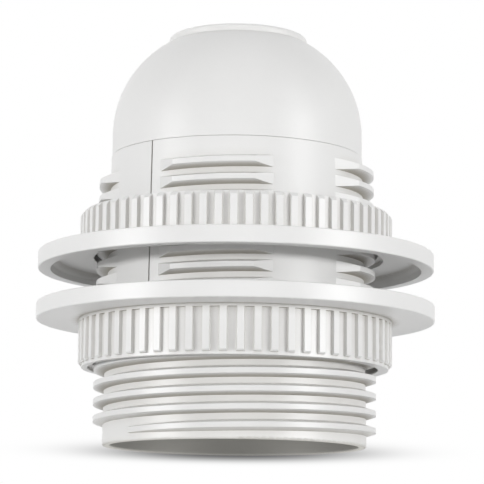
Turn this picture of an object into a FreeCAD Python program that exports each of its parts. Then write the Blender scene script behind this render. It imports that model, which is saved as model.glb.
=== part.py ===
import FreeCAD, Part
import math
import os

# Lamp holder for a 27 mm screw-cap lamp, standing on its mouth rim with the cable entry on top.
# Two shade rings ride on the thread round its barrel. Lengths are in millimetres.
# +Z runs up the axis from mouth to entry; the origin is on the axis, in the plane of the mouth rim.
# A bearing is an angle about the axis in degrees: 0 faces -Y and 90 faces +X.

# Barrel shell
BARREL_HEIGHT = 41.28
WALL = 1.15
DRAFT = 0.9
RIM_ROUND = 0.3
TOP_ROUND = 0.08
SLIT_BEARING = -40.5
SLIT_WIDTH = 0.22
SLIT_BOTTOM = 16.2

# Shade thread round the barrel: plain turns at the mouth, then broken into four segments
CREST_RADIUS = 20.0
RIDGE_HEIGHT = 1.35
PITCH = 2.405
FIRST_RIDGE = 1.81
RIDGE_BASE = 1.50
RIDGE_CREST = 0.73
RIDGE_DRAFT_START = 15.3
THREAD_START_BEARING = -50.0
THREAD_START_HEIGHT = 0.30
RUN_IN = 50.0
RUN_IN_SECTIONS = 8
FULL_THREAD_TURNS = 5.5
THREAD_TOP_MARGIN = 2.0
FACET_ANGLE = 50.0
END_MARGIN = 4.0

# The four strips of broken thread: middle bearing, half angle and step off the plain turns' helix
STRIPS = [
    (-9.7, 25.7, -0.12),
    (81.9, 33.1, 0.43),
    (170.3, 25.7, 0.10),
    (262.0, 33.1, -0.09),
]

# Lamp thread inside the barrel
MOUTH_DEPTH = 4.0
FUNNEL_HEIGHT = 4.0
LAMP_THREAD_DEPTH = 1.1
LAMP_PITCH = 3.63
LAMP_RIDGE_BASE = 2.3
LAMP_THREAD_LENGTH = 13.2
SLEEVE_GAP = 1.9
SLEEVE_WALL = 2.2
SLEEVE_FLOOR = 1.5
CONTACT_CHAMBER_WALL = 1.3
CONTACT_CHAMBER_HEIGHT = 5.4

# Shade rings
RING_CLEARANCE = 0.25
RING_THREAD_DEPTH = 0.7
RING_WALL = 0.8
RING_RIDGE_HALF_ANGLE = 31.0
RING_RIDGE_BEARING = -10.0
RIB_DEPTH = 0.5
RIB_FLANK = 0.12
RIB_CHAMFER = 0.22
LIP_WIDTH = 1.8
FLANGE_PLATE = 0.75
FLANGE_ROUND = 0.2
RECESS_ROUND = 0.8
UPPER_RING_HEIGHT = 24.94
UPPER_FLANGE_THICKNESS = 2.41
UPPER_FLANGE_WIDTH = 5.95
UPPER_COLLAR_HEIGHT = 5.65
UPPER_RIBS = 67
UPPER_RIB_SHARE = 0.58
UPPER_RIB_BEARING = -0.94
UPPER_COLLAR_CHAMFER = 0.55
SHADE_GAP = 4.91
LOWER_FLANGE_THICKNESS = 2.31
LOWER_FLANGE_WIDTH = 6.05
LOWER_COLLAR_HEIGHT = 6.76
LOWER_RIBS = 60
LOWER_RIB_SHARE = 0.5
LOWER_RIB_BEARING = 1.83
LOWER_PLAIN_BAND = 0.4
LOWER_FOOT_BAND = 0.44

# Domed cap
SEAM_GAP = 0.04
CAP_STEP = 0.08
CAP_WALL = 1.4
CAP_SKIRT = 3.29
DOME_ROUND = 15.27
COLLAR_RADIUS = 9.94
COLLAR_RISE = 1.05
COLLAR_ROUND = 0.5
SPIGOT_CLEARANCE = 0.08
SPIGOT_WALL = 1.2
SNAP_BEAD = 0.28
SNAP_SPAN = 1.6
SNAP_PLAY = 0.12
SNAP_DROP = 3.0
BOSS_WALL = 2.0
BOSS_LENGTH = 10.0

# Entry bush and its lock screw
ENTRY_BORE_RADIUS = 4.5
BUSH_WALL = 1.7
BUSH_RECESS = 0.3
BUSH_FLANGE_WIDTH = 1.2
BUSH_FLANGE_THICKNESS = 1.2
LOCK_SCREW_RADIUS = 2.0
LOCK_SCREW_DROP = 6.5
LOCK_SCREW_PLAY = 0.05
LOCK_SCREW_STAND = 0.4

# Contact carrier
CARRIER_CLEARANCE = 0.1
CARRIER_FLOOR = 4.2
CARRIER_RIM_WALL = 1.2
CARRIER_RIM_HEIGHT = 3.7
DIVIDER_THICKNESS = 1.4
DIVIDER_HEIGHT = 6.4
DIVIDER_CLEARANCE = 0.3
CONTACT_GAP = 0.3

# Contacts, terminals and their fastenings
CONTACT_SHEET = 0.5
CONTACT_WIDTH = 5.0
CENTRE_FOOT_INSET = 5.7
SIDE_FOOT_INSET = 5.3
FOOT_HALF_LENGTH = 2.4
CENTRE_SPRING_DROP = 2.6
CENTRE_TIP_REACH = 4.2
CENTRE_TIP_RISE = 1.0
CENTRE_PAD_HALF = 1.6
SIDE_TONGUE_DROP = 4.4
SIDE_TONGUE_CLEARANCE = 0.5
SIDE_BELLY = 0.7
SHEET_BEND = 0.6
RIVET_RADIUS = 1.2
RIVET_PLAY = 0.05
RIVET_HEAD_RADIUS = 2.3
RIVET_HEAD_HEIGHT = 0.7
RIVET_SEAT = 1.0
TERMINAL_SIZE = (6.6, 7.0, 3.4)
CLAMP_SIZE = (6.0, 6.0, 0.8)
CLAMP_BEND = 0.6
TERMINAL_SCREW_RADIUS = 1.6
TERMINAL_SCREW_PLAY = 0.05
TERMINAL_SCREW_DEPTH = 2.2
TERMINAL_HEAD_RADIUS = 2.7
TERMINAL_HEAD_HEIGHT = 1.8
SLOT_WIDTH = 0.7
SLOT_DEPTH = 0.8

V = FreeCAD.Vector
ORIGIN = V(0, 0, 0)
UP = V(0, 0, 1)
FORWARD = V(0, -1, 0)
TURN = 360.0

# Heights and radii that the pieces share
SLOPE = math.tan(math.radians(DRAFT))
FLANK_SLOPE = (RIDGE_BASE - RIDGE_CREST) / 2 / RIDGE_HEIGHT
ROOT_RADIUS = CREST_RADIUS - RIDGE_HEIGHT
SLEEVE_RADIUS = ROOT_RADIUS - WALL - SLEEVE_GAP
LAMP_MAJOR_RADIUS = SLEEVE_RADIUS - SLEEVE_WALL
CHAMBER_RADIUS = SLEEVE_RADIUS - CONTACT_CHAMBER_WALL
FUNNEL_TOP = MOUTH_DEPTH + FUNNEL_HEIGHT
CHAMBER_BOTTOM = FUNNEL_TOP + LAMP_THREAD_LENGTH + LAMP_PITCH / 4
SLEEVE_TOP = CHAMBER_BOTTOM + CONTACT_CHAMBER_HEIGHT
CARRIER_TOP = SLEEVE_TOP + CARRIER_FLOOR
CARRIER_RIM_TOP = CARRIER_TOP + CARRIER_RIM_HEIGHT
CAP_BOTTOM = BARREL_HEIGHT + SEAM_GAP
DOME_START = CAP_BOTTOM + CAP_SKIRT
RING_BORE = CREST_RADIUS + RING_CLEARANCE
RING_ROOT = RING_BORE + RING_THREAD_DEPTH
RIB_ROOT = RING_ROOT + RING_WALL
RIB_CREST = RIB_ROOT + RIB_DEPTH
BUSH_RADIUS = ENTRY_BORE_RADIUS + BUSH_WALL
BOSS_RADIUS = BUSH_RADIUS + BOSS_WALL
CENTRE_FOOT_X = CENTRE_FOOT_INSET - CHAMBER_RADIUS
SIDE_FOOT_X = CHAMBER_RADIUS - SIDE_FOOT_INSET


def root_at(height):
    """Outer radius of the barrel between its ridges."""
    return ROOT_RADIUS - height * SLOPE


def crest_at(height):
    """Radius of the ridge crests, which follow the draft above the plain turns."""
    return CREST_RADIUS - max(0.0, height - RIDGE_DRAFT_START) * SLOPE


def inner_at(height):
    """Inner radius of the barrel's outer wall."""
    return root_at(height) - WALL


CAP_RADIUS = root_at(BARREL_HEIGHT) - CAP_STEP
SPIGOT_RADIUS = inner_at(BARREL_HEIGHT) - SPIGOT_CLEARANCE
SPIGOT_BORE = SPIGOT_RADIUS - SPIGOT_WALL
DOME_CENTRE = CAP_RADIUS - DOME_ROUND
COLLAR_BOTTOM = DOME_START + math.sqrt(DOME_ROUND ** 2 - (COLLAR_RADIUS - DOME_CENTRE) ** 2)
CAP_TOP = COLLAR_BOTTOM + COLLAR_RISE
BOSS_BOTTOM = CAP_TOP - BOSS_LENGTH
LOCK_SCREW_HEIGHT = CAP_TOP - LOCK_SCREW_DROP
SNAP_HEIGHT = BARREL_HEIGHT - SNAP_DROP


def corner_arc(before, corner, after, radius):
    """Start, middle and end of the arc that rounds the corner between two straight lines."""
    to_before = (before - corner).normalize()
    to_after = (after - corner).normalize()
    half = to_before.getAngle(to_after) / 2
    set_back = radius / math.tan(half)
    bisector = (to_before + to_after).normalize()
    centre = corner + bisector * (radius / math.sin(half))
    return corner + to_before * set_back, centre - bisector * radius, corner + to_after * set_back


def outline(corners):
    """Closed wire of (across, up) corners in the XZ plane. A third number rounds a corner."""
    points = [V(corner[0], 0, corner[1]) for corner in corners]
    edges = []
    ends = []
    for index, corner in enumerate(corners):
        here = points[index]
        if len(corner) == 2:
            ends.append((here, here))
            continue
        following = points[(index + 1) % len(points)]
        start, middle, end = corner_arc(points[index - 1], here, following, corner[2])
        edges.append(Part.Arc(start, middle, end).toShape())
        ends.append((start, end))
    for index, (start, _) in enumerate(ends):
        edges.append(Part.makeLine(ends[index - 1][1], start))
    return Part.Wire(Part.__sortEdges__(edges))


def turned(corners):
    """Solid turned about the axis from a closed (radius, height) outline."""
    return Part.Face(outline(corners)).revolve(ORIGIN, UP, TURN)


def box(size, centre_x, centre_y, bottom):
    """Box centred on a point in plan and standing on a height."""
    length, width, height = size
    return Part.makeBox(length, width, height, V(centre_x - length / 2, centre_y - width / 2, bottom))


def post(radius, bottom, top, x=0.0, y=0.0):
    """Upright cylinder between two heights."""
    return Part.makeCylinder(radius, top - bottom, V(x, y, bottom))


def turned_to(shape, bearing):
    """The shape turned about the axis to a bearing."""
    return shape.rotated(ORIGIN, UP, bearing)


def ridge_height(turn, bearing):
    """Height of the shade thread's ridge on a turn, at a bearing."""
    return FIRST_RIDGE + PITCH * (turn + bearing / TURN)


def ridge_corners(inner, crest):
    """Section of the shade thread's ridge, from a radius inside the wall out to its crest."""
    half_base = RIDGE_CREST / 2 + FLANK_SLOPE * (crest - inner)
    return [(inner, -half_base), (crest, -RIDGE_CREST / 2), (crest, RIDGE_CREST / 2), (inner, half_base)]


def arc_ridge(corners, half_angle):
    """Ridge swept along a short arc about bearing 0: a helix this flat is an arc that leans by its lead."""
    lead = math.degrees(math.atan(PITCH / (math.tau * CREST_RADIUS)))
    section = Part.Face(outline(corners))
    section.rotate(ORIGIN, UP, -90.0 - half_angle)
    ridge = section.revolve(ORIGIN, UP, 2 * half_angle)
    ridge.rotate(ORIGIN, FORWARD, lead)
    return ridge


def end_wedge(half_angle, root):
    """Prism whose two outer sides are the plane facets at a segment's ends."""
    facet = math.radians(FACET_ANGLE)
    end = math.radians(half_angle)
    reach = root * math.cos(facet - end)
    low = root * math.cos(end) - 2 * WALL
    wide = (reach - low * math.cos(facet)) / math.sin(facet)
    corners = [V(0, -reach / math.cos(facet), -PITCH), V(wide, -low, -PITCH), V(-wide, -low, -PITCH)]
    return Part.Face(Part.makePolygon(corners + corners[:1])).extrude(UP * (2 * PITCH))


def thread_segment(height, bearing, half_angle):
    """One short ridge of the broken thread, cut to plane facets at its two ends."""
    root = root_at(height)
    ridge = arc_ridge(ridge_corners(root - WALL / 2, crest_at(height)), half_angle + END_MARGIN)
    piece = turned_to(ridge.common(end_wedge(half_angle, root)), bearing)
    piece.translate(UP * height)
    return piece


def swept_ridge(corners, pitch, start_bearing, start_height, degrees):
    """Ridge swept up a helix from a bearing."""
    helix = Part.makeHelix(pitch, pitch * degrees / TURN, corners[0][0])
    ridge = Part.Wire(helix).makePipeShell([outline(corners)], True, True)
    ridge = turned_to(ridge, start_bearing - 90.0)
    ridge.translate(UP * start_height)
    return ridge


def thread_start(inner):
    """The lowest ridge's start: it rises out of the wall until it meets the full ridge."""
    growth = RIDGE_HEIGHT - THREAD_START_HEIGHT
    sections = []
    for index in range(RUN_IN_SECTIONS + 1):
        share = index / RUN_IN_SECTIONS
        bearing = THREAD_START_BEARING + RUN_IN * share
        crest = CREST_RADIUS - growth * (1 - math.sin(share * math.pi / 2))
        section = turned_to(outline(ridge_corners(inner, crest)), bearing - 90.0)
        section.translate(UP * ridge_height(0, bearing))
        sections.append(section)
    return Part.makeLoft(sections, True, False)


def plain_thread():
    """The unbroken turns at the mouth, with their start."""
    inner = ROOT_RADIUS - WALL / 2
    full_bearing = THREAD_START_BEARING + RUN_IN
    turns = swept_ridge(ridge_corners(inner, CREST_RADIUS), PITCH, full_bearing,
                        ridge_height(0, full_bearing), FULL_THREAD_TURNS * TURN - RUN_IN)
    return [turns, thread_start(inner)]


def broken_thread():
    """The segments above the plain turns, with plain strips between them."""
    segments = []
    last_plain = FULL_THREAD_TURNS + THREAD_START_BEARING / TURN
    highest = BARREL_HEIGHT - THREAD_TOP_MARGIN
    for turn in range(int(highest / PITCH) + 1):
        for bearing, half_angle, step in STRIPS:
            height = ridge_height(turn, bearing) + step
            if turn + bearing / TURN > last_plain and height < highest:
                segments.append(thread_segment(height, bearing, half_angle))
    return segments


def lamp_thread():
    """Rounded ridge of the lamp thread inside the sleeve."""
    inset = 0.25
    base = LAMP_MAJOR_RADIUS + inset
    crest = LAMP_MAJOR_RADIUS - LAMP_THREAD_DEPTH
    half = LAMP_RIDGE_BASE / 2
    start = FUNNEL_TOP + half
    rise = LAMP_THREAD_LENGTH - half
    arc = Part.Arc(V(base, 0, -half), V(crest, 0, 0), V(base, 0, half)).toShape()
    profile = Part.Wire([arc, Part.makeLine(V(base, 0, half), V(base, 0, -half))])
    helix = Part.makeHelix(LAMP_PITCH, rise, base)
    ridge = Part.Wire(helix).makePipeShell([profile], True, True)
    ridge.translate(UP * start)
    return ridge


def barrel():
    """One moulding: outer wall with the shade thread, and an inner sleeve with the lamp thread."""
    gap_floor = FUNNEL_TOP + SLEEVE_FLOOR
    groove = SNAP_BEAD + SNAP_PLAY
    groove_half = SNAP_SPAN / 2 + SNAP_PLAY
    shell = turned([
        (ROOT_RADIUS, 0.0, RIM_ROUND),
        (root_at(BARREL_HEIGHT), BARREL_HEIGHT, TOP_ROUND),
        (inner_at(BARREL_HEIGHT), BARREL_HEIGHT),
        (inner_at(BARREL_HEIGHT), SNAP_HEIGHT + groove_half),
        (inner_at(BARREL_HEIGHT) + groove, SNAP_HEIGHT),
        (inner_at(BARREL_HEIGHT), SNAP_HEIGHT - groove_half),
        (inner_at(CARRIER_RIM_TOP), CARRIER_RIM_TOP),
        (inner_at(gap_floor), gap_floor),
        (SLEEVE_RADIUS, gap_floor),
        (SLEEVE_RADIUS, SLEEVE_TOP),
        (CHAMBER_RADIUS, SLEEVE_TOP),
        (CHAMBER_RADIUS, CHAMBER_BOTTOM),
        (LAMP_MAJOR_RADIUS, CHAMBER_BOTTOM),
        (LAMP_MAJOR_RADIUS, FUNNEL_TOP),
        (inner_at(0.0), MOUTH_DEPTH),
        (inner_at(0.0), 0.0, RIM_ROUND),
    ])
    shell = shell.fuse(plain_thread() + broken_thread())
    slit = Part.makeBox(2 * WALL, SLIT_WIDTH, BARREL_HEIGHT - SLIT_BOTTOM + 1.0,
                        V(inner_at(SLIT_BOTTOM) - WALL / 2, -SLIT_WIDTH / 2, SLIT_BOTTOM))
    slits = [turned_to(slit, SLIT_BEARING - 90.0), turned_to(slit, SLIT_BEARING + 90.0)]
    return shell.cut(slits).fuse(lamp_thread())


def ribbed_prism(count, share, first_bearing, bottom, top):
    """Prism whose outline has ribs that stand out of the collar's root radius."""
    pitch = math.tau / count
    half_foot = pitch * share / 2
    half_top = half_foot - RIB_FLANK / RIB_CREST
    points = []
    for index in range(count):
        middle = math.radians(first_bearing - 90.0) + index * pitch
        for radius, angle in ((RIB_ROOT, -half_foot), (RIB_CREST, -half_top),
                              (RIB_CREST, half_top), (RIB_ROOT, half_foot)):
            points.append(V(radius * math.cos(middle + angle), radius * math.sin(middle + angle), bottom))
    return Part.Face(Part.makePolygon(points + points[:1])).extrude(UP * (top - bottom))


def ring_blank(flange_thickness, flange_width, collar_height):
    """Flange and collar with the collar up, the lip's face at height 0 and no bore yet."""
    flange_radius = RIB_CREST + flange_width
    return turned([
        (0.0, 0.0),
        (flange_radius, 0.0, FLANGE_ROUND),
        (flange_radius, flange_thickness, FLANGE_ROUND),
        (RIB_ROOT, flange_thickness),
        (RIB_ROOT, flange_thickness + collar_height),
        (0.0, flange_thickness + collar_height),
    ])


def ring_hollow(flange_thickness, flange_width, collar_height):
    """The dished recess inside the lip and the bore through the collar, to be cut away."""
    lip_radius = RIB_CREST + flange_width - LIP_WIDTH
    recess = flange_thickness - FLANGE_PLATE
    margin = 1.0
    return turned([
        (0.0, -margin),
        (lip_radius, -margin),
        (lip_radius, recess, RECESS_ROUND),
        (RING_ROOT, recess),
        (RING_ROOT, flange_thickness + collar_height + margin),
        (0.0, flange_thickness + collar_height + margin),
    ])


def ring_ridges(bottom, top):
    """Short ridges inside a ring's bore, level with the valleys of the shade thread."""
    half_base = RIDGE_BASE / 2
    half_crest = RIDGE_CREST / 2
    buried = RING_ROOT + RING_WALL / 2
    corners = [(buried, -half_base), (buried, half_base), (RING_BORE, half_crest), (RING_BORE, -half_crest)]
    ridge = arc_ridge(corners, RING_RIDGE_HALF_ANGLE)
    faces = post(RIB_ROOT, bottom, top)
    ridges = []
    for turn in range(int(top / PITCH) + 1):
        for quarter in range(4):
            bearing = RING_RIDGE_BEARING + 90.0 * quarter
            height = ridge_height(turn + 0.5, bearing)
            if bottom - half_crest < height < top + half_crest:
                piece = turned_to(ridge, bearing)
                piece.translate(UP * height)
                ridges.append(piece.common(faces))
    return ridges


def upper_ring():
    """Ring whose ribs run out at the top of its collar."""
    size = (UPPER_FLANGE_THICKNESS, UPPER_FLANGE_WIDTH, UPPER_COLLAR_HEIGHT)
    top = UPPER_FLANGE_THICKNESS + UPPER_COLLAR_HEIGHT
    ribs = ribbed_prism(UPPER_RIBS, UPPER_RIB_SHARE, UPPER_RIB_BEARING, FLANGE_PLATE, top)
    envelope = turned([
        (0.0, 0.0),
        (RIB_CREST, 0.0),
        (RIB_CREST, top - UPPER_COLLAR_CHAMFER),
        (RIB_CREST - UPPER_COLLAR_CHAMFER, top),
        (0.0, top),
    ])
    ring = ring_blank(*size).fuse(ribs.common(envelope)).cut(ring_hollow(*size))
    ring.translate(UP * UPPER_RING_HEIGHT)
    bore_bottom = UPPER_RING_HEIGHT + UPPER_FLANGE_THICKNESS - FLANGE_PLATE
    return ring.fuse(ring_ridges(bore_bottom, UPPER_RING_HEIGHT + top))


def lower_ring():
    """Ring that hangs collar down, with its grooves closed by a band at each end."""
    size = (LOWER_FLANGE_THICKNESS, LOWER_FLANGE_WIDTH, LOWER_COLLAR_HEIGHT)
    rib_bottom = LOWER_FLANGE_THICKNESS + LOWER_PLAIN_BAND
    top = LOWER_FLANGE_THICKNESS + LOWER_COLLAR_HEIGHT
    rib_top = top - LOWER_FOOT_BAND
    ribs = ribbed_prism(LOWER_RIBS, LOWER_RIB_SHARE, LOWER_RIB_BEARING, rib_bottom, rib_top)
    envelope = turned([
        (0.0, 0.0),
        (RIB_CREST, 0.0),
        (RIB_CREST, rib_top - RIB_CHAMFER),
        (RIB_CREST - RIB_CHAMFER, rib_top),
        (0.0, rib_top),
    ])
    band = post(RIB_CREST, LOWER_FLANGE_THICKNESS - FLANGE_PLATE / 2, rib_bottom)
    ring = ring_blank(*size).fuse([band, ribs.common(envelope)]).cut(ring_hollow(*size))
    ring = ring.mirror(ORIGIN, UP)
    lip_height = UPPER_RING_HEIGHT - SHADE_GAP
    ring.translate(UP * lip_height)
    bore_top = lip_height - LOWER_FLANGE_THICKNESS + FLANGE_PLATE
    return ring.fuse(ring_ridges(lip_height - top, bore_top))


def lock_screw_hole():
    """Clearance for the lock screw through the boss and the bush."""
    return Part.makeCylinder(LOCK_SCREW_RADIUS + LOCK_SCREW_PLAY, BOSS_RADIUS + 1.0,
                             V(0, 0, LOCK_SCREW_HEIGHT), V(1, 0, 0))


def dome(inset, bottom, top_radius):
    """Solid of the cap's straight skirt and rounded dome, up to where it narrows to a radius."""
    radius = CAP_RADIUS - inset
    rounding = DOME_ROUND - inset
    top = DOME_START + math.sqrt(rounding ** 2 - (top_radius - DOME_CENTRE) ** 2)
    middle = math.atan2(top - DOME_START, top_radius - DOME_CENTRE) / 2
    arc = Part.Arc(V(radius, 0, DOME_START),
                   V(DOME_CENTRE + rounding * math.cos(middle), 0, DOME_START + rounding * math.sin(middle)),
                   V(top_radius, 0, top)).toShape()
    rest = Part.makePolygon([V(top_radius, 0, top), V(0, 0, top), V(0, 0, bottom),
                             V(radius, 0, bottom), V(radius, 0, DOME_START)])
    return Part.Face(Part.Wire([arc] + rest.Edges)).revolve(ORIGIN, UP, TURN)


def dome_cap():
    """Domed cap: a spigot that snaps into the barrel, a collar on top and a boss for the bush."""
    inner = CAP_RADIUS - CAP_WALL
    bead_half = SNAP_SPAN / 2
    collar = turned([
        (0.0, COLLAR_BOTTOM - CAP_WALL),
        (COLLAR_RADIUS - CAP_WALL, COLLAR_BOTTOM - CAP_WALL),
        (COLLAR_RADIUS, COLLAR_BOTTOM),
        (COLLAR_RADIUS, CAP_TOP, COLLAR_ROUND),
        (0.0, CAP_TOP),
    ])
    spigot = turned([
        (0.0, CARRIER_RIM_TOP),
        (SPIGOT_RADIUS, CARRIER_RIM_TOP),
        (SPIGOT_RADIUS, SNAP_HEIGHT - bead_half),
        (SPIGOT_RADIUS + SNAP_BEAD, SNAP_HEIGHT),
        (SPIGOT_RADIUS, SNAP_HEIGHT + bead_half),
        (SPIGOT_RADIUS, DOME_START),
        (0.0, DOME_START),
    ])
    throat = turned([
        (0.0, CARRIER_RIM_TOP - 1.0),
        (SPIGOT_BORE, CARRIER_RIM_TOP - 1.0),
        (SPIGOT_BORE, CAP_BOTTOM),
        (inner, DOME_START),
        (0.0, DOME_START),
    ])
    boss = post(BOSS_RADIUS, BOSS_BOTTOM, CAP_TOP - COLLAR_ROUND)
    cavity = dome(CAP_WALL, DOME_START, BOSS_RADIUS)
    cap = dome(0.0, CAP_BOTTOM, COLLAR_RADIUS).fuse([collar, spigot]).cut([cavity, throat]).fuse(boss)
    bore = post(BUSH_RADIUS, BOSS_BOTTOM - 1.0, CAP_TOP + 1.0)
    return cap.cut([bore, lock_screw_hole()])


def entry_bush():
    """Flanged metal bush in the boss, bored for the suspension tube."""
    bush = turned([
        (ENTRY_BORE_RADIUS, BOSS_BOTTOM - BUSH_FLANGE_THICKNESS),
        (BUSH_RADIUS + BUSH_FLANGE_WIDTH, BOSS_BOTTOM - BUSH_FLANGE_THICKNESS),
        (BUSH_RADIUS + BUSH_FLANGE_WIDTH, BOSS_BOTTOM),
        (BUSH_RADIUS, BOSS_BOTTOM),
        (BUSH_RADIUS, CAP_TOP - BUSH_RECESS),
        (ENTRY_BORE_RADIUS, CAP_TOP - BUSH_RECESS),
    ])
    return bush.cut(lock_screw_hole())


def lock_screw():
    """Headless screw through the boss, which grips the suspension tube."""
    length = BOSS_RADIUS + LOCK_SCREW_STAND - ENTRY_BORE_RADIUS
    screw = Part.makeCylinder(LOCK_SCREW_RADIUS, length, V(ENTRY_BORE_RADIUS, 0, LOCK_SCREW_HEIGHT), V(1, 0, 0))
    screw = screw.cut(Part.makeBox(SLOT_DEPTH, 4 * LOCK_SCREW_RADIUS, SLOT_WIDTH,
                                   V(ENTRY_BORE_RADIUS + length - SLOT_DEPTH, -2 * LOCK_SCREW_RADIUS,
                                     LOCK_SCREW_HEIGHT - SLOT_WIDTH / 2)))
    return screw


def contact_carrier():
    """Insulating disc that rests on the sleeve and is held down by the cap's spigot."""
    radius = inner_at(CARRIER_RIM_TOP) - CARRIER_CLEARANCE
    carrier = turned([
        (0.0, SLEEVE_TOP),
        (radius, SLEEVE_TOP),
        (radius, CARRIER_RIM_TOP),
        (radius - CARRIER_RIM_WALL, CARRIER_RIM_TOP),
        (radius - CARRIER_RIM_WALL, CARRIER_TOP),
        (0.0, CARRIER_TOP),
    ])
    foot = box((DIVIDER_THICKNESS, 2 * radius - CARRIER_RIM_WALL, CARRIER_RIM_HEIGHT), 0.0, 0.0, CARRIER_TOP)
    crown = box((DIVIDER_THICKNESS, 2 * (SPIGOT_BORE - DIVIDER_CLEARANCE), DIVIDER_HEIGHT), 0.0, 0.0, CARRIER_TOP)
    holes = [post(RIVET_RADIUS + RIVET_PLAY, SLEEVE_TOP - 1.0, CARRIER_TOP + 1.0, x)
             for x in (CENTRE_FOOT_X, SIDE_FOOT_X)]
    return carrier.fuse([foot, crown]).cut(holes)


def bent_strip(corners):
    """Contact cut from sheet: an open (across, up) path, given thickness and width."""
    path = [V(across, 0, up) for across, up in corners]
    upper = []
    lower = []
    for index, here in enumerate(path):
        before = (here - path[index - 1]).normalize() if index else None
        after = (path[index + 1] - here).normalize() if index + 1 < len(path) else None
        before = before or after
        after = after or before
        along = (before + after).normalize()
        across = V(-along.z, 0, along.x)
        half = CONTACT_SHEET / 2 / max(0.5, math.cos(before.getAngle(after) / 2))
        upper.append(here + across * half)
        lower.append(here - across * half)
    points = upper + lower[::-1]
    last = len(path) - 1
    corners = []
    for index, point in enumerate(points):
        inside = index % (last + 1) not in (0, last)
        corners.append((point.x, point.z, SHEET_BEND) if inside else (point.x, point.z))
    strip = Part.Face(outline(corners)).extrude(V(0, CONTACT_WIDTH, 0))
    strip.translate(V(0, -CONTACT_WIDTH / 2, 0))
    return strip


def contact_hole(x):
    """Hole in a contact's foot, with room for the foot to rock about its rivet."""
    return post(RIVET_RADIUS + CONTACT_GAP, SLEEVE_TOP - 2.0, SLEEVE_TOP, x)


def centre_contact():
    """Sprung strip under the carrier that presses on the lamp's centre."""
    foot = SLEEVE_TOP - CONTACT_GAP - CONTACT_SHEET / 2
    pad = foot - CENTRE_SPRING_DROP
    strip = bent_strip([
        (CENTRE_FOOT_X - FOOT_HALF_LENGTH, foot),
        (CENTRE_FOOT_X + FOOT_HALF_LENGTH, foot),
        (-CENTRE_PAD_HALF, pad),
        (CENTRE_PAD_HALF, pad),
        (CENTRE_TIP_REACH, pad + CENTRE_TIP_RISE),
    ])
    return strip.cut(contact_hole(CENTRE_FOOT_X))


def side_contact():
    """Sprung strip that turns down beside the lamp thread and touches the lamp's shell."""
    foot = SLEEVE_TOP - CONTACT_GAP - CONTACT_SHEET / 2
    back = CHAMBER_RADIUS * math.cos(math.asin(CONTACT_WIDTH / 2 / CHAMBER_RADIUS))
    outer = back - SIDE_TONGUE_CLEARANCE - CONTACT_SHEET / 2
    strip = bent_strip([
        (SIDE_FOOT_X - FOOT_HALF_LENGTH, foot),
        (outer, foot),
        (outer - SIDE_BELLY, foot - SIDE_TONGUE_DROP / 2),
        (outer, foot - SIDE_TONGUE_DROP),
    ])
    return strip.cut(contact_hole(SIDE_FOOT_X))


def rivet(x):
    """Rivet from a terminal block down through the carrier, with its head under the contact."""
    head_top = SLEEVE_TOP - 2 * CONTACT_GAP - CONTACT_SHEET
    shank = post(RIVET_RADIUS, head_top, CARRIER_TOP + RIVET_SEAT, x)
    head = turned([
        (0.0, head_top - RIVET_HEAD_HEIGHT),
        (RIVET_HEAD_RADIUS * 0.6, head_top - RIVET_HEAD_HEIGHT),
        (RIVET_HEAD_RADIUS, head_top - RIVET_HEAD_HEIGHT * 0.3),
        (RIVET_HEAD_RADIUS, head_top),
        (0.0, head_top),
    ])
    head.translate(V(x, 0, 0))
    return shank.fuse(head)


def terminal(x):
    """Brass block on the carrier, drilled for its rivet and tapped for its clamp screw."""
    block = box(TERMINAL_SIZE, x, 0.0, CARRIER_TOP)
    top = CARRIER_TOP + TERMINAL_SIZE[2]
    rivet_hole = post(RIVET_RADIUS + RIVET_PLAY, CARRIER_TOP, CARRIER_TOP + RIVET_SEAT, x)
    screw_hole = post(TERMINAL_SCREW_RADIUS + TERMINAL_SCREW_PLAY, top - TERMINAL_SCREW_DEPTH, top, x)
    return block.cut([rivet_hole, screw_hole])


def clamp_plate(x):
    """Square washer under a terminal screw, with two edges turned down over the block."""
    bottom = CARRIER_TOP + TERMINAL_SIZE[2]
    length, width, thickness = CLAMP_SIZE
    plate = box((length, TERMINAL_SIZE[1] + 2 * thickness, thickness), x, 0.0, bottom)
    cheeks = [box((length, thickness, CLAMP_BEND), x, side * (TERMINAL_SIZE[1] + thickness) / 2,
                  bottom - CLAMP_BEND) for side in (-1, 1)]
    hole = post(TERMINAL_SCREW_RADIUS + TERMINAL_SCREW_PLAY, bottom - 1.0, bottom + thickness + 1.0, x)
    return plate.fuse(cheeks).cut(hole)


def terminal_screw(x, slot_bearing):
    """Slotted cheese-head screw that clamps a wire under its plate."""
    seat = CARRIER_TOP + TERMINAL_SIZE[2] + CLAMP_SIZE[2]
    top = seat + TERMINAL_HEAD_HEIGHT
    shank = post(TERMINAL_SCREW_RADIUS, seat - CLAMP_SIZE[2] - TERMINAL_SCREW_DEPTH + 0.2, seat)
    head = turned([
        (0.0, seat),
        (TERMINAL_HEAD_RADIUS, seat),
        (TERMINAL_HEAD_RADIUS, top, 0.3),
        (0.0, top),
    ])
    slot = box((4 * TERMINAL_HEAD_RADIUS, SLOT_WIDTH, SLOT_DEPTH + 1.0), 0.0, 0.0, top - SLOT_DEPTH)
    screw = shank.fuse(head).cut(turned_to(slot, slot_bearing))
    screw.translate(V(x, 0, 0))
    return screw


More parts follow.
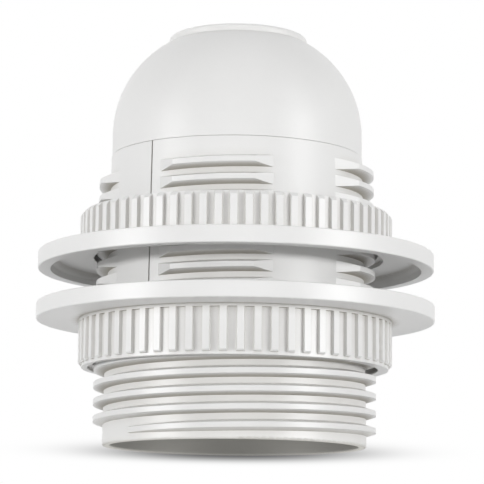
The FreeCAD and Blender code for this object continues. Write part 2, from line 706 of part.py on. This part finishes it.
NODES = {
    "dome_cap": dome_cap,
    "entry_bush": entry_bush,
    "lock_screw": lock_screw,
    "barrel": barrel,
    "upper_ring": upper_ring,
    "lower_ring": lower_ring,
    "contact_carrier": contact_carrier,
    "centre_contact": centre_contact,
    "side_contact": side_contact,
    "live_rivet": lambda: rivet(CENTRE_FOOT_X),
    "neutral_rivet": lambda: rivet(SIDE_FOOT_X),
    "live_terminal": lambda: terminal(CENTRE_FOOT_X),
    "neutral_terminal": lambda: terminal(SIDE_FOOT_X),
    "live_clamp_plate": lambda: clamp_plate(CENTRE_FOOT_X),
    "neutral_clamp_plate": lambda: clamp_plate(SIDE_FOOT_X),
    "live_screw": lambda: terminal_screw(CENTRE_FOOT_X, 35.0),
    "neutral_screw": lambda: terminal_screw(SIDE_FOOT_X, -20.0),
}

os.makedirs("parts", exist_ok=True)
for name, make in NODES.items():
    shape = make()
    if not shape.isValid() or len(shape.Solids) != 1:
        print("check", name, "valid", shape.isValid(), "solids", len(shape.Solids))
    shape = shape.Solids[0] if len(shape.Solids) == 1 else shape
    shape.exportStep(f"parts/{name}.step")
    bounds = shape.BoundBox
    print(f"{name:20s} {shape.Volume:9.1f} mm3  z {bounds.ZMin:6.2f} to {bounds.ZMax:6.2f}")
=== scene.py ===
import math

import bpy
from mathutils import Matrix, Vector


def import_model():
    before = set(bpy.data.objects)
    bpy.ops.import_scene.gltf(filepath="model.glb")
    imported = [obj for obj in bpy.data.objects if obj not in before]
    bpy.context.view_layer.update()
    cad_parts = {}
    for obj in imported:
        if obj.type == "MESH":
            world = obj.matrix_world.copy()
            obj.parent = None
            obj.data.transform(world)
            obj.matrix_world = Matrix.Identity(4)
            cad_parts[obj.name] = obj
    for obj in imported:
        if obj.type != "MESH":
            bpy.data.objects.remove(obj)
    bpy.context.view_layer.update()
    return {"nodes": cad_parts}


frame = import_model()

scene = bpy.context.scene

# Sizes are in millimetres and angles in degrees, unless a comment says otherwise
MM = 0.001
WHITE = (1.0, 1.0, 1.0)
SMOOTH_ANGLE = 18.5

# Photograph's camera, fitted to the outlines in it
CAMERA_PLACE = (0.0, -319.47, -20.67)
CAMERA_PITCH = 8.90
CAMERA_YAW = -0.150
CAMERA_ROLL = 0.572
FOCAL_LENGTH = 168.04
SENSOR_WIDTH = 36.0
CLIP_RANGE = (10.0, 20000.0)

# The barrel's mouth, and the floor just under its rim
RIM_RADIUS = 18.65
MOUTH_RADIUS = 17.3
FLOOR_HEIGHT = -0.1
FLOOR_RINGS = (MOUTH_RADIUS, 40.0, 120.0, 500.0, 4000.0)
FLOOR_STEPS = 96
FLOOR_DARK = (0.79, 0.79, 0.79)
FLOOR_LIGHT = (0.81, 0.81, 0.81)
FLOOR_LIFT = 0.66
# In features per metre
FLOOR_GRAIN = 60.0

# Painted shadow round the rim, as the camera sees it through the floor. SIGHT_SHIFT is how much further back
# such a low line of sight meets the rim's plane than it meets the floor.
SHADE_COLOUR = (0.02, 0.02, 0.02)
SHADE_STRENGTH = 0.91
SHADE_MIDDLE = 10.0
SHADE_WIDTH = 19.6
SHADE_DEPTH = 22.0
SHADE_FALL = 1.5
SHADE_INSET = 0.4
SIGHT_SHIFT = 1.55

# Glow from the floor where the object covers it, though the floor is no lamp: inside the mouth, with two
# spots on the far side, and right under the rim
GLOW_COLOUR = (1.0, 0.985, 0.93)
GLOW_MARGIN = 0.9
MOUTH_LIGHT = 0.23
MOUTH_SPOTS = ((-8.5, 12.5), (8.0, 12.5))
MOUTH_SPOT_RADIUS = 4.5
NEAR_RIM_LIGHT = 0.62
FAR_RIM_LIGHT = 0.26

# Room light at middle height from in front, right, behind and left, and from overhead. The overhead
# light comes in between two heights, where 1 is straight up.
MIDDLE_LIGHT = (0.0, 0.0, 0.30, 0.15)
TOP_LIGHT = 0.76
TOP_STARTS = 0.5
TOP_IS_FULL = 0.9
# Just over 1, so that no bearing is divided by zero straight up
POLE_GUARD = 1.0001

# Soft boxes: elevation, then distance, width and height in metres
TALL_BOX = (12.0, 0.9, 0.22, 0.9)
LOW_BOX = (0.0, 0.6, 0.3, 0.055)
WIDE_LOW_BOX = (0.0, 0.6, 0.45, 0.055)
# Each lamp's bearing, power in watts, and soft box
LAMPS = {
    "left_box": (-60.0, 1.15, TALL_BOX),
    "right_box": (60.0, 1.65, TALL_BOX),
    "left_low_box": (-60.0, 1.25, LOW_BOX),
    "right_low_box": (58.0, 1.20, LOW_BOX),
    "front_low_box": (0.0, 0.50, WIDE_LOW_BOX),
}
AIM_HEIGHT = 30.0

# Painted shade in inner corners, most on undersides: how near its cause lies, its tint, and its part on
# upright faces
CORNER_SHADE_REACH = 1.5
CORNER_SHADE_TINT = (0.36, 0.325, 0.26)
CORNER_SHADE_UPRIGHT = 0.38
CORNER_SHADE_SAMPLES = 8

# Moulded plastic: slow tone drift in features per metre, and how fine the specks are against the grain
TONE_DRIFT = 90.0
DRIFT_SHARE = 0.6
SPECK_FINENESS = 2.4
SPECK_SHARE = 0.5
GRAIN_STRENGTH = 0.35
PLASTIC_SWING = 0.05
PLASTIC_IOR = 1.5
PLASTIC_SPECULAR = 0.8
PLASTIC_EDGE_SAMPLES = 6

# Worked metal: patina in features per metre, and tool marks
PATINA = 350.0
MARK_DEPTH = 0.01
MARK_STRENGTH = 0.3
METAL_EDGE = 0.08
METAL_EDGE_SAMPLES = 4
SMOOTHEST_MARK = -0.07
ROUGHEST_MARK = 0.09


# Node helpers
def new_tree(name):
    """An empty node material and its node tree."""
    made = bpy.data.materials.new(name)
    made.use_nodes = True
    made.node_tree.nodes.clear()
    return made, made.node_tree


def node(tree, kind, **settings):
    """A shader node with the settings given."""
    made = tree.nodes.new(kind)
    for key, value in settings.items():
        setattr(made, key, value)
    return made


def feed(tree, made, inputs):
    """Fills a node's inputs by name or number, each from a socket or with a plain value."""
    for key, value in inputs.items():
        if isinstance(value, bpy.types.NodeSocket):
            tree.links.new(value, made.inputs[key])
        else:
            made.inputs[key].default_value = value


def maths(tree, operation, *values):
    """Math node with each input a socket or a number."""
    made = node(tree, "ShaderNodeMath", operation=operation)
    feed(tree, made, dict(enumerate(values)))
    return made.outputs[0]


def squares(tree, across, along):
    """Sum of the squares of two values."""
    return maths(tree, "ADD", maths(tree, "MULTIPLY", across, across), maths(tree, "MULTIPLY", along, along))


def split(tree, vector):
    """A vector's three parts."""
    made = node(tree, "ShaderNodeSeparateXYZ")
    feed(tree, made, {"Vector": vector})
    return made.outputs


def place_on(tree, kind):
    """Texture coordinates of one kind."""
    return node(tree, "ShaderNodeTexCoord").outputs[kind]


def noise(tree, place, scale, detail, roughness):
    """Noise over a piece's own coordinates; scale is in features per metre."""
    made = node(tree, "ShaderNodeTexNoise")
    feed(tree, made, {"Vector": place, "Scale": scale, "Detail": detail, "Roughness": roughness})
    return made.outputs["Fac"]


def spread(tree, value, low, high, start=0.25, end=0.75):
    """Maps a stretch of a value onto a range. The stretch is what a noise covers, if none is given."""
    made = node(tree, "ShaderNodeMapRange")
    feed(tree, made, {"Value": value, "From Min": start, "From Max": end, "To Min": low, "To Max": high})
    return made.outputs["Result"]


def shades(tree, value, dark, light):
    """Colour between two shades by a value from 0 to 1."""
    made = node(tree, "ShaderNodeMix", data_type="RGBA")
    feed(tree, made, {"Factor": value, "A": (*dark, 1.0), "B": (*light, 1.0)})
    return made.outputs["Result"]


def seen_plainly(tree):
    """1 for camera, glossy and transmission rays, and 0 for those that carry light to the object."""
    path = node(tree, "ShaderNodeLightPath").outputs
    mirrored = maths(tree, "MAXIMUM", path["Is Glossy Ray"], path["Is Transmission Ray"])
    return maths(tree, "MAXIMUM", path["Is Camera Ray"], mirrored)


def from_sides(tree, across, along, square, lights):
    """One value on every bearing, blended from those in front, right, behind and left."""
    total = 0.0
    for axis, side, light in zip((along, across, along, across), (-1.0, 1.0, 1.0, -1.0), lights):
        toward = maths(tree, "MAXIMUM", maths(tree, "MULTIPLY", axis, side), 0.0)
        share = maths(tree, "DIVIDE", maths(tree, "MULTIPLY", toward, toward), square)
        total = maths(tree, "ADD", maths(tree, "MULTIPLY", share, light), total)
    return total


def emission(tree, colour, strength):
    """Plain light of one colour."""
    made = node(tree, "ShaderNodeEmission")
    feed(tree, made, {"Color": (*colour, 1.0), "Strength": strength})
    return made.outputs["Emission"]


def mix_shaders(tree, share, first, second):
    """The first shader, giving way to the second as the share goes from 0 to 1."""
    made = node(tree, "ShaderNodeMixShader")
    feed(tree, made, {"Fac": share, 1: first, 2: second})
    return made.outputs["Shader"]


def finish_material(tree, shader):
    """Puts a shader on the material's surface."""
    feed(tree, node(tree, "ShaderNodeOutputMaterial"), {"Surface": shader})


# Materials
def painted_corner_shade(tree, colour, strength):
    """The colour with painted shade: darker and warmer in the piece's inner corners, most of all on its
    undersides.
    """
    near = node(tree, "ShaderNodeAmbientOcclusion", samples=CORNER_SHADE_SAMPLES, only_local=True)
    feed(tree, near, {"Distance": CORNER_SHADE_REACH * MM})
    hidden = maths(tree, "SUBTRACT", 1.0, near.outputs["AO"])
    upward = split(tree, place_on(tree, "Normal"))["Z"]
    downward = maths(tree, "MAXIMUM", maths(tree, "MULTIPLY", upward, -1.0), 0.0)
    share = maths(tree, "ADD", downward, CORNER_SHADE_UPRIGHT)
    amount = maths(tree, "MULTIPLY", maths(tree, "MULTIPLY", hidden, share), strength)
    tint = node(tree, "ShaderNodeMix", data_type="RGBA", blend_type="MULTIPLY")
    feed(tree, tint, {"Factor": maths(tree, "MINIMUM", amount, 1.0), "A": colour, "B": (*CORNER_SHADE_TINT, 1.0)})
    return tint.outputs["Result"]


def rough_surface(tree, height, strength, depth, edge, samples):
    """Normal of a surface with relief by a height from 0 to 1, and with softened edges."""
    soft = node(tree, "ShaderNodeBevel", samples=samples)
    feed(tree, soft, {"Radius": edge * MM})
    bump = node(tree, "ShaderNodeBump")
    feed(tree, bump, {"Height": height, "Strength": strength, "Distance": depth * MM,
                      "Normal": soft.outputs["Normal"]})
    return bump.outputs["Normal"]


def moulded_plastic(name, dark, light, rough, grain_size, grain_depth, edge, corner_shade):
    """White moulded plastic: fine spark-eroded grain, slow tone drift, softened edges and painted shade in
    its inner corners.
    """
    made, tree = new_tree(name)
    place = place_on(tree, "Object")
    drift = noise(tree, place, TONE_DRIFT, detail=3.0, roughness=0.55)
    grain = noise(tree, place, 1.0 / (grain_size * MM), detail=3.0, roughness=0.6)
    speck = noise(tree, place, SPECK_FINENESS / (grain_size * MM), detail=1.0, roughness=0.5)
    tone = maths(tree, "ADD", maths(tree, "MULTIPLY", drift, DRIFT_SHARE),
                 maths(tree, "MULTIPLY", grain, 1.0 - DRIFT_SHARE))
    colour = shades(tree, spread(tree, tone, 0.0, 1.0), dark, light)
    relief = maths(tree, "ADD", grain, maths(tree, "MULTIPLY", speck, SPECK_SHARE))
    shader = node(tree, "ShaderNodeBsdfPrincipled")
    feed(tree, shader, {
        "IOR": PLASTIC_IOR,
        "Specular IOR Level": PLASTIC_SPECULAR,
        # The base colour carries painted shade in inner corners and on undersides
        "Base Color": painted_corner_shade(tree, colour, corner_shade),
        "Roughness": spread(tree, grain, rough - PLASTIC_SWING, rough + PLASTIC_SWING),
        "Normal": rough_surface(tree, relief, GRAIN_STRENGTH, grain_depth, edge, PLASTIC_EDGE_SAMPLES),
    })
    finish_material(tree, shader.outputs["BSDF"])
    return made


def worked_metal(name, dark, light, rough, streak, stretch):
    """Metal with tool marks, noise drawn out along one direction, in roughness and bump, over a patina noise
    in colour.
    """
    made, tree = new_tree(name)
    place = place_on(tree, "Object")
    drawn = node(tree, "ShaderNodeMapping")
    feed(tree, drawn, {"Vector": place, "Scale": stretch})
    marks = noise(tree, drawn.outputs["Vector"], streak, detail=4.0, roughness=0.6)
    patina = noise(tree, place, PATINA, detail=3.0, roughness=0.5)
    shader = node(tree, "ShaderNodeBsdfPrincipled")
    feed(tree, shader, {
        "Metallic": 1.0,
        "Base Color": shades(tree, spread(tree, patina, 0.0, 1.0), dark, light),
        "Roughness": spread(tree, marks, rough + SMOOTHEST_MARK, rough + ROUGHEST_MARK),
        "Normal": rough_surface(tree, marks, MARK_STRENGTH, MARK_DEPTH, METAL_EDGE, METAL_EDGE_SAMPLES),
    })
    finish_material(tree, shader.outputs["BSDF"])
    return made


# The last value of each plastic sets the strength of its painted corner shade
SHELL = moulded_plastic(
    "shell_plastic", dark=(0.838, 0.836, 0.828), light=(0.872, 0.870, 0.862),
    rough=0.40, grain_size=0.16, grain_depth=0.006, edge=0.10, corner_shade=1.1)
RING = moulded_plastic(
    "ring_plastic", dark=(0.850, 0.848, 0.841), light=(0.882, 0.880, 0.873),
    rough=0.38, grain_size=0.20, grain_depth=0.004, edge=0.09, corner_shade=1.5)
CARRIER = moulded_plastic(
    "carrier_plastic", dark=(0.62, 0.60, 0.55), light=(0.68, 0.66, 0.61),
    rough=0.55, grain_size=0.30, grain_depth=0.010, edge=0.08, corner_shade=1.0)
BRONZE = worked_metal(
    "spring_bronze", dark=(0.62, 0.38, 0.19), light=(0.76, 0.50, 0.28),
    rough=0.28, streak=900.0, stretch=(1.0, 9.0, 9.0))
BRASS = worked_metal(
    "turned_brass", dark=(0.70, 0.52, 0.22), light=(0.82, 0.64, 0.31),
    rough=0.30, streak=1200.0, stretch=(1.0, 1.0, 8.0))
STEEL = worked_metal(
    "zinc_plated_steel", dark=(0.50, 0.51, 0.53), light=(0.66, 0.67, 0.68),
    rough=0.30, streak=1200.0, stretch=(1.0, 1.0, 8.0))

FINISH = {
    "dome_cap": SHELL,
    "barrel": SHELL,
    "upper_ring": RING,
    "lower_ring": RING,
    "contact_carrier": CARRIER,
    "centre_contact": BRONZE,
    "side_contact": BRONZE,
    "live_rivet": BRASS,
    "neutral_rivet": BRASS,
    "live_terminal": BRASS,
    "neutral_terminal": BRASS,
    "live_clamp_plate": STEEL,
    "neutral_clamp_plate": STEEL,
    "live_screw": STEEL,
    "neutral_screw": STEEL,
    "entry_bush": STEEL,
    "lock_screw": STEEL,
}
for name, shown in frame["nodes"].items():
    shown.data.materials.clear()
    shown.data.materials.append(FINISH[name])
    for face in shown.data.polygons:
        face.material_index = 0
    shown.data.shade_smooth()
    shown.data.set_sharp_from_angle(angle=math.radians(SMOOTH_ANGLE))


# Floor and world
def pale_paper(tree, place):
    """The floor from above: pale and a little grained, and white to the eye. It keeps shadows."""
    grain = noise(tree, place, FLOOR_GRAIN, detail=3.0, roughness=0.5)
    paper = node(tree, "ShaderNodeBsdfDiffuse")
    feed(tree, paper, {"Color": shades(tree, spread(tree, grain, 0.0, 1.0), FLOOR_DARK, FLOOR_LIGHT)})
    lift = emission(tree, WHITE, maths(tree, "MULTIPLY", seen_plainly(tree), FLOOR_LIFT))
    both = node(tree, "ShaderNodeAddShader")
    feed(tree, both, {0: paper.outputs["BSDF"], 1: lift})
    return both.outputs["Shader"]


def mouth_glow(tree, across, along, radius):
    """Glow that the covered floor sends up, though it is no lamp: a plain level with spots in the mouth,
    another at the rim.
    """
    level = 1.0
    for spot in MOUTH_SPOTS:
        sideways, back = [maths(tree, "DIVIDE", maths(tree, "SUBTRACT", way, middle * MM),
                                MOUTH_SPOT_RADIUS * MM)
                          for way, middle in zip((across, along), spot)]
        far = maths(tree, "MULTIPLY", squares(tree, sideways, back), -1.0)
        level = maths(tree, "ADD", maths(tree, "EXPONENT", far), level)
    level = maths(tree, "MULTIPLY", level, MOUTH_LIGHT)
    behind = maths(tree, "MAXIMUM", maths(tree, "DIVIDE", along, RIM_RADIUS * MM), 0.0)
    change = maths(tree, "MULTIPLY", maths(tree, "MULTIPLY", behind, behind), FAR_RIM_LIGHT - NEAR_RIM_LIGHT)
    rim_level = maths(tree, "ADD", change, NEAR_RIM_LIGHT)
    under_rim = maths(tree, "GREATER_THAN", radius, MOUTH_RADIUS * MM)
    in_mouth = maths(tree, "SUBTRACT", 1.0, under_rim)
    strength = maths(tree, "ADD", maths(tree, "MULTIPLY", level, in_mouth),
                     maths(tree, "MULTIPLY", rim_level, under_rim))
    return emission(tree, GLOW_COLOUR, strength)


def painted_rim_shadow(tree, across, along):
    """Strength of the painted shadow, which fades from a spot behind the axis and starts outside the rim."""
    wide = maths(tree, "DIVIDE", across, SHADE_WIDTH * MM)
    deep = maths(tree, "DIVIDE", maths(tree, "SUBTRACT", along, SHADE_MIDDLE * MM), SHADE_DEPTH * MM)
    fade = maths(tree, "MULTIPLY", maths(tree, "POWER", squares(tree, wide, deep), SHADE_FALL), -1.0)
    shade = maths(tree, "MULTIPLY", maths(tree, "EXPONENT", fade), SHADE_STRENGTH)
    met = maths(tree, "ADD", along, SIGHT_SHIFT * MM)
    reached = maths(tree, "SQRT", squares(tree, across, met))
    outside = maths(tree, "GREATER_THAN", reached, (RIM_RADIUS - SHADE_INSET) * MM)
    return maths(tree, "MULTIPLY", shade, outside)


def floor_material():
    """Pale from above. From below it is clear, apart from the painted shadow round the rim."""
    made, tree = new_tree("pale_floor")
    to_camera = node(tree, "ShaderNodeLightPath").outputs["Is Camera Ray"]
    place = place_on(tree, "Object")
    parts = split(tree, place)
    across, along = parts["X"], parts["Y"]
    radius = maths(tree, "SQRT", squares(tree, across, along))

    covered = maths(tree, "LESS_THAN", radius, (RIM_RADIUS + GLOW_MARGIN) * MM)
    covered = maths(tree, "MULTIPLY", covered, maths(tree, "SUBTRACT", 1.0, to_camera))
    above = mix_shaders(tree, covered, pale_paper(tree, place), mouth_glow(tree, across, along, radius))

    # Painted shadow: a dark emission that only camera rays from below see
    shade = maths(tree, "MULTIPLY", painted_rim_shadow(tree, across, along), to_camera)
    clear = node(tree, "ShaderNodeBsdfTransparent").outputs["BSDF"]
    below = mix_shaders(tree, shade, clear, emission(tree, SHADE_COLOUR, 1.0))

    from_below = node(tree, "ShaderNodeNewGeometry").outputs["Backfacing"]
    finish_material(tree, mix_shaders(tree, from_below, above, below))
    return made


def floor():
    """Round floor with rings of vertices, in the plane just under the rim."""
    points, faces = [(0.0, 0.0, 0.0)], []
    for radius in FLOOR_RINGS:
        for step in range(FLOOR_STEPS):
            angle = math.tau * step / FLOOR_STEPS
            points.append((radius * MM * math.cos(angle), radius * MM * math.sin(angle), 0.0))
    for step in range(FLOOR_STEPS):
        following = (step + 1) % FLOOR_STEPS
        faces.append((0, 1 + step, 1 + following))
        for ring in range(len(FLOOR_RINGS) - 1):
            here = 1 + ring * FLOOR_STEPS
            there = here + FLOOR_STEPS
            faces.append((here + step, there + step, there + following, here + following))
    mesh = bpy.data.meshes.new("floor")
    mesh.from_pydata(points, [], faces)
    made = bpy.data.objects.new("floor", mesh)
    made.location.z = FLOOR_HEIGHT * MM
    made.data.materials.append(floor_material())
    scene.collection.objects.link(made)


def background(tree, strength):
    """White world of one strength."""
    made = node(tree, "ShaderNodeBackground")
    feed(tree, made, {"Color": (*WHITE, 1.0), "Strength": strength})
    return made.outputs["Background"]


def world():
    """White to the eye; to the object a plain light from overhead, from behind and from the left."""
    made = bpy.data.worlds.new("studio")
    scene.world = made
    made.use_nodes = True
    tree = made.node_tree
    tree.nodes.clear()
    parts = split(tree, place_on(tree, "Generated"))
    height = parts["Z"]
    flat = maths(tree, "SUBTRACT", POLE_GUARD, maths(tree, "MULTIPLY", height, height))
    middle = from_sides(tree, parts["X"], parts["Y"], flat, MIDDLE_LIGHT)
    top = spread(tree, height, 0.0, 1.0, start=TOP_STARTS, end=TOP_IS_FULL)
    level = maths(tree, "ADD", maths(tree, "MULTIPLY", top, TOP_LIGHT),
                  maths(tree, "MULTIPLY", maths(tree, "SUBTRACT", 1.0, top), middle))
    shown = mix_shaders(tree, seen_plainly(tree), background(tree, level), background(tree, 1.0))
    feed(tree, node(tree, "ShaderNodeOutputWorld"), {"Surface": shown})


def soft_box(name, bearing, power, box):
    """Area lamp at a bearing about the object, aimed at its middle."""
    elevation, distance, width, height = box
    lamp = bpy.data.lights.new(name, "AREA")
    lamp.shape = "RECTANGLE"
    lamp.size, lamp.size_y = width, height
    lamp.energy = power
    made = bpy.data.objects.new(name, lamp)
    turn, rise = math.radians(bearing), math.radians(elevation)
    way = Vector((math.sin(turn) * math.cos(rise), -math.cos(turn) * math.cos(rise), math.sin(rise)))
    made.location = Vector((0.0, 0.0, AIM_HEIGHT * MM)) + way * distance
    made.rotation_euler = (-way).to_track_quat("-Z", "Y").to_euler()
    scene.collection.objects.link(made)


floor()
world()
for name, (bearing, power, box) in LAMPS.items():
    soft_box(name, bearing, power, box)

# Camera
lens = bpy.data.cameras.new("camera")
lens.sensor_width = SENSOR_WIDTH
lens.lens = FOCAL_LENGTH
lens.clip_start, lens.clip_end = [limit * MM for limit in CLIP_RANGE]
camera = bpy.data.objects.new("camera", lens)
turned = (Matrix.Rotation(math.radians(CAMERA_YAW), 4, "Z")
          @ Matrix.Rotation(math.radians(90.0 + CAMERA_PITCH), 4, "X")
          @ Matrix.Rotation(math.radians(CAMERA_ROLL), 4, "Z"))
camera.matrix_world = Matrix.Translation(Vector(CAMERA_PLACE) * MM) @ turned
scene.collection.objects.link(camera)
scene.camera = camera
scene.view_settings.view_transform = "Standard"
